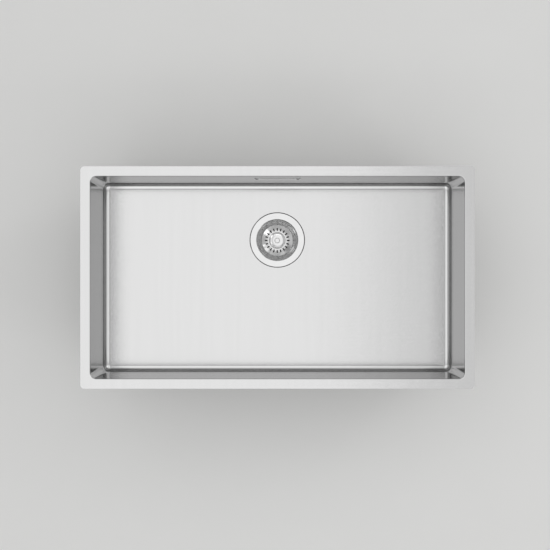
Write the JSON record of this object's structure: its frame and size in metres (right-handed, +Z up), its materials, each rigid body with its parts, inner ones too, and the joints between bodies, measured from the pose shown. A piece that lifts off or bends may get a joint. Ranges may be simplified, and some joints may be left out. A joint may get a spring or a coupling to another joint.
{
  "type": "kitchen sink",
  "caption": "Rectangular stainless steel kitchen sink bowl with a flat rim, a lift-out basket strainer waste and a slotted overflow piped to the waste.",
  "frame": {"origin": "centre of the bowl's opening, in the plane of the rim's top face", "axes": "+Z up out of the bowl, +X along the bowl to the right, +Y towards the rear wall that has the overflow"},
  "size_m": [0.78, 0.4478, 0.3],
  "materials": {
    "brushed_bowl": "satin, brushed front to rear on the flats and along the walls",
    "strainer_steel": "polished",
    "deadening_rubber": "matt",
    "gasket_rubber": "matt",
    "waste_plastic": "moulded",
    "nut_plastic": "moulded",
    "nut_brass": "turned"
  },
  "bodies": {
    "sink": {"bowl": "brushed_bowl", "floor_pad_left": "deadening_rubber", "floor_pad_right": "deadening_rubber", "wall_pad_left": "deadening_rubber", "wall_pad_right": "deadening_rubber", "wall_pad_front": "deadening_rubber", "strainer_cup": "strainer_steel", "flange_gasket": "gasket_rubber", "body_gasket": "gasket_rubber", "waste_body": "waste_plastic", "outlet_tail": "waste_plastic", "nut_carrier": "nut_plastic", "clamp_screw": "strainer_steel", "clamp_nut": "nut_brass", "overflow_cover": "strainer_steel", "overflow_screws": "strainer_steel", "overflow_gasket": "gasket_rubber", "overflow_housing": "waste_plastic", "overflow_pipe": "waste_plastic", "upper_union_nut": "nut_plastic", "upper_pipe_seal": "gasket_rubber", "lower_union_nut": "nut_plastic", "lower_pipe_seal": "gasket_rubber"},
    "detent_ring": {"detent_ring": "strainer_steel"},
    "basket": {"basket": "strainer_steel", "basket_stem": "strainer_steel", "basket_seal": "gasket_rubber", "seal_washer": "strainer_steel", "basket_knob": "strainer_steel"}
  },
  "joints": [
    {"name": "basket_lift", "type": "slide", "parent": "sink", "child": "detent_ring", "axis": [0, 0, 1], "range_m": [0, 0.29]},
    {"name": "basket_turn", "type": "hinge", "parent": "detent_ring", "child": "basket", "pos_m": [0, 0.08, -0.24], "axis": [0, 0, 1], "continuous": true}
  ]
}
